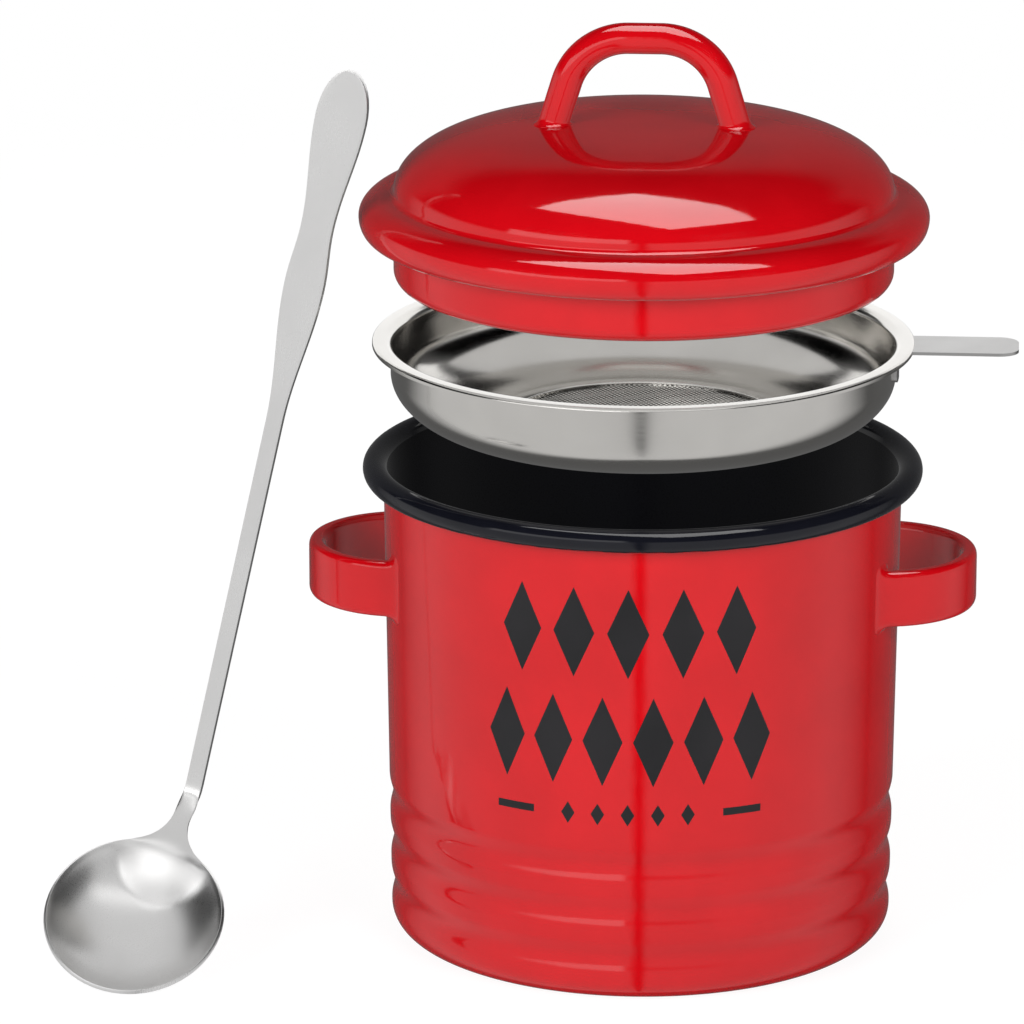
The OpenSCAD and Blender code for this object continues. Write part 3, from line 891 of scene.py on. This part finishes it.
@dataclass
class Lid:
    """The enamelled lid: a pressed dome with brim and skirt, its black lining and an arched bar handle."""

    wall: float = 0.6 * MM
    lining: float = 0.2 * MM
    brim_w: float = 7.4 * MM
    brim_h: float = 5.3 * MM
    lip_w: float = 3 * MM
    lip_h: float = 4.6 * MM
    crease_r: float = 1.4 * MM
    dome_h: float = 23 * MM
    dome_fullness: float = 3.67
    dome_power: float = 0.53
    skirt_h: float = 12.4 * MM
    skirt_round: float = 3.5 * MM
    skirt_turn: float = 75
    underside_round: float = 1 * MM
    skirt_gap: float = 0.35 * MM
    bar_d: float = 7.8 * MM
    bar_span: float = 45.4 * MM
    bar_lean: float = math.radians(17)
    bar_bend: float = 16 * MM
    weld: float = 1.4 * MM
    brim_r: float = field(init=False)
    level: float = field(init=False)
    skirt_r: float = field(init=False)

    def __post_init__(self) -> None:
        """Reads the lid's reach from the frame."""
        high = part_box("lid_shell")[1]
        self.brim_r, self.level = high.x, high.z - self.dome_h
        strainer = Strainer()
        self.skirt_r = strainer.bowl_r - strainer.metal - self.skirt_gap

    @property
    def brim_in(self) -> float:
        """Radius at which the brim meets the crease."""
        return self.brim_r - self.brim_w

    @property
    def dome_r(self) -> float:
        """Radius of the dome at its foot."""
        return self.brim_in - self.crease_r

    def dome_z(self, r: float) -> float:
        """Height of the dome over the brim's widest line, at a distance from the axis."""
        foot = self.brim_h + self.crease_r
        fall = max(0.0, 1 - (r / self.dome_r) ** self.dome_fullness)
        return foot + (self.dome_h - foot) * fall**self.dome_power

    def face(self) -> Path:
        """The red face, from the top of the dome out over the brim and down the skirt."""
        foot = self.brim_h + self.crease_r
        radii = [self.dome_r * math.sin(math.radians(90 * i / 60)) for i in range(61)]
        path: Path = [(r, self.dome_z(r)) for r in radii]
        path += arc((self.brim_in, foot), self.crease_r, 196, 272, 10)
        for k in range(1, 22):
            a = math.radians(78 - 78 * k / 21)
            path.append((self.brim_in + self.brim_w * math.cos(a), self.brim_h * math.sin(a)))
        for k in range(1, 19):
            a = math.radians(-90 * k / 18)
            path.append((self.brim_r - self.lip_w + self.lip_w * math.cos(a), self.lip_h * math.sin(a)))
        under = self.underside_round
        path += arc((self.skirt_r + under, -self.lip_h - under), under, 90, 180, 8)
        low = -self.lip_h - self.skirt_h + self.skirt_round * math.sin(math.radians(self.skirt_turn))
        start = path[-1][1]
        path += [(self.skirt_r, start + (low - start) * i / 4) for i in range(1, 4)]
        path += arc((self.skirt_r - self.skirt_round, low), self.skirt_round, 0, -self.skirt_turn, 16)
        return path

    def build(self, finishes: "Finishes") -> None:
        """Builds and dresses the lid."""
        face = self.face()
        shell = lathe("lid_dome", sheet(face, -self.wall), self.level)
        shell.visible_glossy = False
        dress(shell, finishes.red, "lid", "red_enamel", ["lid_shell"])
        inner = beside(face, [-self.wall] * len(face))
        lining = lathe("lid_black_enamel", sheet(inner, -self.lining), self.level)
        lining.visible_glossy = False
        dress(lining, finishes.black, "lid", "black_enamel", ["lid_lining"])
        dress(self.handle(), finishes.red, "lid", "red_enamel", ["lid_handle"])

    def handle(self) -> bpy.types.Object:
        """Bends the round bar, with a weld fillet at each foot."""
        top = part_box("lid_handle")[1].z - self.level - self.bar_d / 2
        foot_x = self.bar_span / 2
        foot_z = self.dome_z(foot_x)
        leg_h = top - foot_z - self.bar_bend * (1 - math.sin(self.bar_lean))
        bend_x = foot_x - leg_h * math.tan(self.bar_lean)
        top_x = bend_x - self.bar_bend * math.cos(self.bar_lean)
        heading = math.pi / 2 - self.bar_lean
        settled = 1.5 * self.weld
        half: list[Station] = []
        for share in (-0.2, 0.01, 0.07, 0.18, 0.35, 0.55, 0.8, 1.0, 1.5):
            distance = share * self.weld
            size = self.bar_d + 2 * fillet_growth(distance, self.weld)
            x = -foot_x + distance * math.tan(self.bar_lean)
            tilt = eased(math.pi / 2, heading, distance / settled)
            half.append(Station(x, foot_z + distance, tilt, size, size))
        for k in range(1, 7):
            rise = settled + (leg_h - settled) * k / 7
            x = -foot_x + rise * math.tan(self.bar_lean)
            half.append(Station(x, foot_z + rise, heading, self.bar_d, self.bar_d))
        for k in range(25):
            angle = heading * (1 - k / 24)
            x = -top_x - self.bar_bend * math.sin(angle)
            z = top - self.bar_bend * (1 - math.cos(angle))
            half.append(Station(x, z, angle, self.bar_d, self.bar_d))
        half.append(Station(0, top, 0.0, self.bar_d, self.bar_d))
        other = [Station(-s.x, s.y, -s.heading, s.width, s.height) for s in half[-2::-1]]
        almost_round = half[0].width * 0.5 * 0.999
        bar = sweep("lid_bar_handle", half + other, almost_round, 12)
        place(bar, Matrix.Translation((0, 0, self.level)) @ Matrix.Rotation(math.pi / 2, 4, "X"))
        return bar


# --- Spoon ----------------------------------------------------------------------------------------------


@dataclass
class Spoon:
    """The long spoon: a round bowl, a bent neck, a narrow shaft and a leaf-shaped end."""

    bowl_r: float = 23 * MM
    depth: float = 9.5 * MM
    bowl_t: float = 1 * MM
    bar_t: float = 1.8 * MM
    fillet: float = 12 * MM
    fillet_sink: float = 0.3 * MM
    bend: float = 10 * MM
    neck_angle: float = math.radians(49)
    shaft_w: float = 4.2 * MM
    length: float = 190 * MM
    leaf_w: float = 13.1 * MM
    waist_w: float = 8.2 * MM
    swell_w: float = 10.2 * MM
    leaf_at: float = 12.5 * MM
    waist_at: float = 41 * MM
    swell_at: float = 56 * MM
    shaft_at: float = 92 * MM
    x: float = -125 * MM
    y: float = -49 * MM
    lean: float = math.radians(12.5)
    turned: float = math.radians(14)
    sides: int = 72
    rim_drop: float = 0.35 * MM
    web_columns: int = 5
    web_rows: int = 12
    bend_rows: int = 8
    thickening: float = 6 * MM
    ease_r: float = 14 * MM
    ease_repeat: int = 44

    @property
    def ball_z(self) -> float:
        """Height of the middle of the bowl's ball over its rim."""
        return (self.bowl_r**2 - self.depth**2) / (2 * self.depth)

    @property
    def web_y(self) -> float:
        """Distance from the bowl's middle to the end of the neck's fillets."""
        reach = self.bowl_r + self.fillet - self.fillet_sink
        return math.sqrt(reach**2 - (self.shaft_w / 2 + self.fillet) ** 2)

    def handle_w(self, d: float) -> float:
        """Width of the handle at a distance from its tip."""
        if d < self.leaf_at:
            return self.leaf_w * math.sqrt(1 - (1 - d / self.leaf_at) ** 2)
        stops = ((self.leaf_at, self.leaf_w), (self.waist_at, self.waist_w), (self.swell_at, self.swell_w),
                 (self.shaft_at, self.shaft_w))
        for (a, wa), (b, wb) in zip(stops, stops[1:]):
            if d < b:
                return eased(wa, wb, (d - a) / (b - a))
        return self.shaft_w

    def build(self, finishes: "Finishes") -> None:
        """Builds and dresses the spoon."""
        dress(self.model(), finishes.spoon, "spoon", "satin_steel", ["spoon"])

    def model(self) -> bpy.types.Object:
        """Draws the spoon's middle surface, gives it its thickness and rounds its edges."""
        rim_r = self.bowl_r - self.bowl_t / 2
        ball_r = self.ball_z + self.depth - self.bowl_t / 2
        drop = -self.rim_drop
        clear_selection()
        bpy.ops.mesh.primitive_circle_add(vertices=self.sides, radius=rim_r, fill_type="NOTHING",
                                          location=(0, 0, drop))
        spoon = bpy.context.object
        spoon.name = "long_spoon"
        bpy.ops.object.transform_apply(location=True)
        bpy.ops.object.mode_set(mode="EDIT")
        bpy.ops.mesh.select_mode(type="VERT")
        bpy.ops.mesh.select_all(action="SELECT")
        rim_angle = math.asin(rim_r / ball_r)
        rim_z = self.ball_z - ball_r * math.cos(rim_angle)
        here = (rim_r, drop)
        rings = 16
        for k in range(1, rings + 1):
            a = rim_angle * (1 - k / rings)
            there = (ball_r * math.sin(a), self.ball_z - ball_r * math.cos(a) - rim_z + drop)
            draw_ring(here, there)
            here = there
        self.draw_handle(spoon, rim_r, drop)
        bpy.ops.object.mode_set(mode="EDIT")
        bpy.ops.mesh.select_all(action="SELECT")
        bpy.ops.mesh.remove_doubles(threshold=1e-6)
        bpy.ops.mesh.normals_make_consistent(inside=False)
        bpy.ops.object.mode_set(mode="OBJECT")
        self.ease_neck(spoon, rim_r)
        self.thicken(spoon, rim_r)
        place(spoon, self.stand())
        lowest = min(v.co.z for v in spoon.data.vertices)
        place(spoon, Matrix.Translation((0, 0, -lowest)))
        return spoon

    def draw_handle(self, spoon: bpy.types.Object, rim_r: float, drop: float) -> None:
        """Draws the web, the bend and the shaft out of the far side of the rim, row by row."""
        bpy.ops.object.mode_set(mode="OBJECT")
        step = 2 * math.pi / self.sides
        half_angle = self.web_columns * step + 1e-6
        nearest = rim_r * math.cos(half_angle) - 1e-6
        chosen = [v.index for v in spoon.data.vertices
                  if abs(math.hypot(v.co.x, v.co.y) - rim_r) < 1e-5 and v.co.y > nearest]
        select_vertices(spoon, chosen)
        width = 2 * rim_r * math.sin(self.web_columns * step)
        sag = rim_r * (1 - math.cos(self.web_columns * step))
        at_y, at_z, at_sag = rim_r, drop, sag
        level = -self.bar_t / 2
        fillet_x = self.shaft_w / 2 + self.fillet
        web_y = self.web_y
        start = math.asin((fillet_x - width / 2) / self.fillet)
        rows: list[tuple[float, float, float, float]] = []
        for k in range(1, self.web_rows + 1):
            a = start + (math.pi / 2 - start) * k / self.web_rows
            left = sag * max(1 - k / self.web_rows, 0.0)
            rows.append((web_y - self.fillet * math.cos(a) + left, drop + (level - drop) * min(1.0, k / 4),
                         2 * (fillet_x - self.fillet * math.sin(a)), left))
        bend_r = self.bend + self.bar_t / 2
        for k in range(1, self.bend_rows + 1):
            a = self.neck_angle * k / self.bend_rows
            y, z = web_y + bend_r * math.sin(a), level + bend_r * (1 - math.cos(a))
            rows.append((y, z, self.shaft_w, 0.0))
        base_y, base_z = rows[-1][0], rows[-1][1]
        shaft = (2 * MM, 30 * MM, 60 * MM, 90 * MM)
        stops = [self.length - s for s in shaft if self.length - s > self.shaft_at]
        leaf = [self.shaft_at - (self.shaft_at - self.leaf_at) * k / 36 for k in range(37)]
        tip = [self.leaf_at * (1 - math.cos(math.radians(a))) for a in (80, 70, 60, 50, 40, 30, 22, 15, 9)]
        for d in stops + leaf + tip:
            along = self.length - d
            y, z = base_y + along * math.cos(self.neck_angle), base_z + along * math.sin(self.neck_angle)
            rows.append((y, z, self.handle_w(d), 0.0))
        for y, z, row_w, row_sag in rows:
            bpy.ops.mesh.extrude_region_move(TRANSFORM_OT_translate={"value": (0, y - at_y, z - at_z)})
            flat = row_sag / at_sag if at_sag > 0 else 1.0
            bpy.ops.transform.resize(value=(row_w / width, flat, 1), center_override=(0, y, z))
            at_y, at_z, width, at_sag = y, z, row_w, row_sag
        bpy.ops.object.mode_set(mode="OBJECT")

    def ease_neck(self, spoon: bpy.types.Object, rim_r: float) -> None:
        """Smooths the ridge between bowl and web, so that the bowl flows into the neck."""
        faces_at = Counter(key for face in spoon.data.polygons for key in face.edge_keys)
        border = {v for key, faces in faces_at.items() if faces == 1 for v in key}
        near = [v.index for v in spoon.data.vertices
                if v.index not in border and math.hypot(v.co.x, v.co.y - rim_r) < self.ease_r]
        select_vertices(spoon, near)
        bpy.ops.mesh.vertices_smooth(factor=0.5, repeat=self.ease_repeat)
        bpy.ops.object.mode_set(mode="OBJECT")

    def thicken(self, spoon: bpy.types.Object, rim_r: float) -> None:
        """Makes the bowl thin and the handle thick, and rounds all edges."""
        group = spoon.vertex_groups.new(name="thickness")
        for v in spoon.data.vertices:
            beyond = math.hypot(v.co.x, v.co.y) - rim_r
            share = 1.0 if v.co.z > 2 * MM else min(max(beyond / self.thickening, 0.0), 1.0)
            group.add([v.index], self.bowl_t / self.bar_t * (1 - share) + share, "REPLACE")
        add_modifier(spoon, "SOLIDIFY", thickness=self.bar_t, offset=0, vertex_group="thickness",
                     use_even_offset=True, use_quality_normals=True)
        add_modifier(spoon, "BEVEL", width=0.3 * MM, segments=3, limit_method="ANGLE",
                     angle_limit=math.radians(50))
        select_only(spoon)
        bpy.ops.object.shade_smooth_by_angle(angle=math.radians(50))

    def stand(self) -> Matrix:
        """Where the spoon stands: leaning to the right, turned about its handle, its bowl on the ground."""
        tip = math.sin(self.lean) * math.sin(self.turned)
        up = math.cos(self.lean) * math.sin(self.neck_angle) + tip * math.cos(self.neck_angle)
        ball_r = self.ball_z + self.depth
        z = ball_r - up * self.ball_z if up > self.ball_z / ball_r else self.bowl_r * math.sqrt(1 - up**2)
        turned = Matrix.Rotation(self.lean, 4, "Y") @ Matrix.Rotation(-self.turned, 4, "Z")
        upright = Matrix.Rotation(math.pi / 2 - self.neck_angle, 4, "X")
        return Matrix.Translation((self.x, self.y, z)) @ turned @ upright


# --- Studio ---------------------------------------------------------------------------------------------


@dataclass
class Studio:
    """A plain white floor and background, soft lamps, and the camera at the photograph's angle."""

    azimuth: float = math.radians(4)
    elevation: float = math.radians(16.3)
    distance: float = 1.8
    lens: float = 250
    aim_right: float = -33 * MM
    aim_up: float = 108.8 * MM
    floor_r: float = 3.0
    floor_sunk: float = 0.2 * MM
    floor_white: float = 1.13
    floor_share: float = 0.8
    fade_from: float = 0.35
    fade_to: float = 0.9
    backdrop_r: float = 6.0

    def build(self) -> None:
        """Builds the studio."""
        self.camera()
        self.floor()
        self.backdrop()
        self.world()
        self.lamps()
        bpy.context.scene.view_settings.view_transform = "Standard"

    def camera(self) -> None:
        """Sets up the camera."""
        data = bpy.data.cameras.new("camera")
        data.lens, data.sensor_width = self.lens, 36
        camera = bpy.data.objects.new("camera", data)
        bpy.context.scene.collection.objects.link(camera)
        a, e = self.azimuth, self.elevation
        back = Vector((math.sin(a) * math.cos(e), -math.cos(a) * math.cos(e), math.sin(e)))
        aim = Vector((math.cos(a), math.sin(a), 0)) * self.aim_right + Vector((0, 0, self.aim_up))
        camera.location = aim + back * self.distance
        camera.rotation_euler = (-back).to_track_quat("-Z", "Y").to_euler()
        bpy.context.scene.camera = camera

    def floor(self) -> None:
        """Lays a pale floor with a faint gloss, white to the camera's eye further out."""
        clear_selection()
        bpy.ops.mesh.primitive_circle_add(vertices=96, radius=self.floor_r, fill_type="NGON",
                                          location=(0, 0, -self.floor_sunk))
        floor = bpy.context.object
        floor.name = "floor"
        bpy.ops.object.transform_apply(location=True)
        shader = Shader("pale_floor")
        away = shader.add("VectorMath", {"operation": "LENGTH"}, i0=shader.place()).outputs["Value"]
        shader.feed(Base_Color=(0.88, 0.88, 0.88), Roughness=0.12, IOR=1.45)
        clear = shader.add("BsdfTransparent").outputs[0]
        white = shader.add("Emission", None, Color=(1.0, 1.0, 1.0, 1.0), Strength=self.floor_white).outputs[0]
        seen = shader.maths("MULTIPLY", shader.add("LightPath").outputs["Is Camera Ray"], self.floor_share)
        lifted = shader.add("MixShader", None, i0=seen, i1=shader.main.outputs[0], i2=white).outputs[0]
        fade = shader.ramp(away, self.fade_from, self.fade_to, 0.0, 1.0)
        mixed = shader.add("MixShader", None, i0=fade, i1=lifted, i2=clear)
        shader.links.new(mixed.outputs[0], shader.nodes["Material Output"].inputs[0])
        floor.data.materials.append(shader.material)
        floor.visible_glossy = False

    def backdrop(self) -> None:
        """Sets up the white backdrop, a large dome that only the camera sees."""
        clear_selection()
        bpy.ops.mesh.primitive_uv_sphere_add(segments=48, ring_count=24, radius=self.backdrop_r)
        backdrop = bpy.context.object
        backdrop.name = "backdrop"
        shader = Shader("white_backdrop")
        white = shader.add("Emission", None, Color=(1.0, 1.0, 1.0, 1.0)).outputs[0]
        shader.links.new(white, shader.nodes["Material Output"].inputs[0])
        backdrop.data.materials.append(shader.material)
        for ray in ("diffuse", "glossy", "transmission", "volume_scatter", "shadow"):
            setattr(backdrop, "visible_" + ray, False)

    def world(self) -> None:
        """Puts bright panels round the front with a slit between them, a bright strip and little behind."""
        world = bpy.data.worlds.new("studio")
        bpy.context.scene.world = world
        world.use_nodes = True
        nodes, links = world.node_tree.nodes, world.node_tree.links
        nodes.clear()

        def add(kind: str, settings: Optional[dict] = None, *values: object) -> bpy.types.NodeSocket:
            """Adds a node, sets or links its inputs in order, and returns its first output."""
            node = nodes.new("ShaderNode" + kind)
            for name, value in (settings or {}).items():
                setattr(node, name, value)
            for socket, value in zip(node.inputs, values):
                if isinstance(value, bpy.types.NodeSocket):
                    links.new(value, socket)
                elif value is not None:
                    socket.default_value = value
            return node.outputs[0]

        def maths(operation: str, a: object, b: object) -> bpy.types.NodeSocket:
            """One sum on two values."""
            return add("Math", {"operation": operation}, a, b)

        def band(value: bpy.types.NodeSocket, low: float, high: float, soft: float) -> bpy.types.NodeSocket:
            """One inside a range of angles in degrees, falling off softly outside it."""
            smooth = {"interpolation_type": "SMOOTHSTEP"}
            a, b, c, d = (math.radians(v) for v in (low - soft, low, high, high + soft))
            rise = add("MapRange", smooth, value, a, b, 0.0, 1.0)
            return maths("MULTIPLY", rise, add("MapRange", smooth, value, c, d, 1.0, 0.0))

        way = nodes.new("ShaderNodeTexCoord").outputs["Generated"]
        part = nodes.new("ShaderNodeSeparateXYZ")
        links.new(way, part.inputs[0])
        side = maths("ARCTAN2", part.outputs[0], maths("MULTIPLY", part.outputs[1], -1.0))
        up = maths("ARCSINE", part.outputs[2], None)
        panels = maths("SUBTRACT", 1.0, band(side, 2, 2, 5))
        panels = maths("MULTIPLY", panels, band(side, -100, 92, 45))
        panels = maths("MULTIPLY", panels, band(up, -90, 6, 8))
        behind = maths("SUBTRACT", 1.0, band(side, -115, 115, 20))
        behind = maths("MULTIPLY", behind, band(up, -90, 30, 12))
        behind = maths("MULTIPLY", behind, 0.16)
        strip = maths("MULTIPLY", band(side, -60, -6, 4), band(up, 8, 20, 4))
        strip = maths("MULTIPLY", strip, 2.6)
        seen = maths("MAXIMUM", maths("MAXIMUM", panels, behind), strip)
        strength = maths("MULTIPLY", seen, 0.75)
        background = nodes.new("ShaderNodeBackground")
        background.inputs["Color"].default_value = (1, 1, 1, 1)
        links.new(strength, background.inputs["Strength"])
        links.new(background.outputs[0], nodes.new("ShaderNodeOutputWorld").inputs["Surface"])

    def lamps(self) -> None:
        """Hangs lamps for the even light, one for the enamel's shine and three that only steel mirrors."""
        middle, low = (0, 0, 0.15), (0, 0, 0.1)
        shine = self.lamp("enamel_shine", (0.10, -0.1, 1.35), (0, 0, 0.2), 0.8, 1.3, 20)
        shine.visible_diffuse = False
        shine.light_linking.receiver_collection = lit_group("enamel")
        for lamp in (self.lamp("steel_back", (0, 1.7, 0.65), middle, 3.0, 1.3, 14),
                     self.lamp("steel_front", (0, -2.3, 1.5), middle, 4.0, 1.9, 15),
                     self.lamp("steel_top", (0, -0.1, 1.5), middle, 3.2, 3.2, 23)):
            lamp.light_linking.receiver_collection = lit_group("steel")
        for lamp in (self.lamp("fill", (-1.0, -1.2, 0.7), low, 0.9, 0.9, 20),
                     self.lamp("fill", (1.0, -1.2, 0.7), low, 0.9, 0.9, 20),
                     self.lamp("back_fill", (0, 1.6, 0.7), low, 1.6, 0.9, 18),
                     self.lamp("high_fill", (0, 0, 1.4), low, 1.0, 1.0, 2)):
            lamp.visible_glossy = False

    def lamp(self, name: str, spot: tuple, aim: tuple, width: float, height: float,
             power: float) -> bpy.types.Object:
        """Hangs one rectangular lamp.

        Args:
            name: Name of the lamp.
            spot: Where it hangs.
            aim: What it points at.
            width: Its width.
            height: Its height.
            power: Its power in watts.

        Returns:
            The lamp.
        """
        data = bpy.data.lights.new(name, "AREA")
        data.shape, data.size, data.size_y, data.energy = "RECTANGLE", width, height, power
        lamp = bpy.data.objects.new(name, data)
        bpy.context.scene.collection.objects.link(lamp)
        lamp.location = spot
        lamp.rotation_euler = (Vector(aim) - Vector(spot)).to_track_quat("-Z", "Y").to_euler()
        return lamp


def main() -> None:
    """Builds the object and its studio."""
    logging.basicConfig(level=logging.INFO, format="%(relativeCreated)d ms, %(name)s: %(message)s")
    pot = Pot()
    finishes = Finishes(pot)
    for part in (pot, Strainer(), Lid(), Spoon()):
        part.build(finishes)
    Studio().build()


if __name__ == "__main__":
    main()
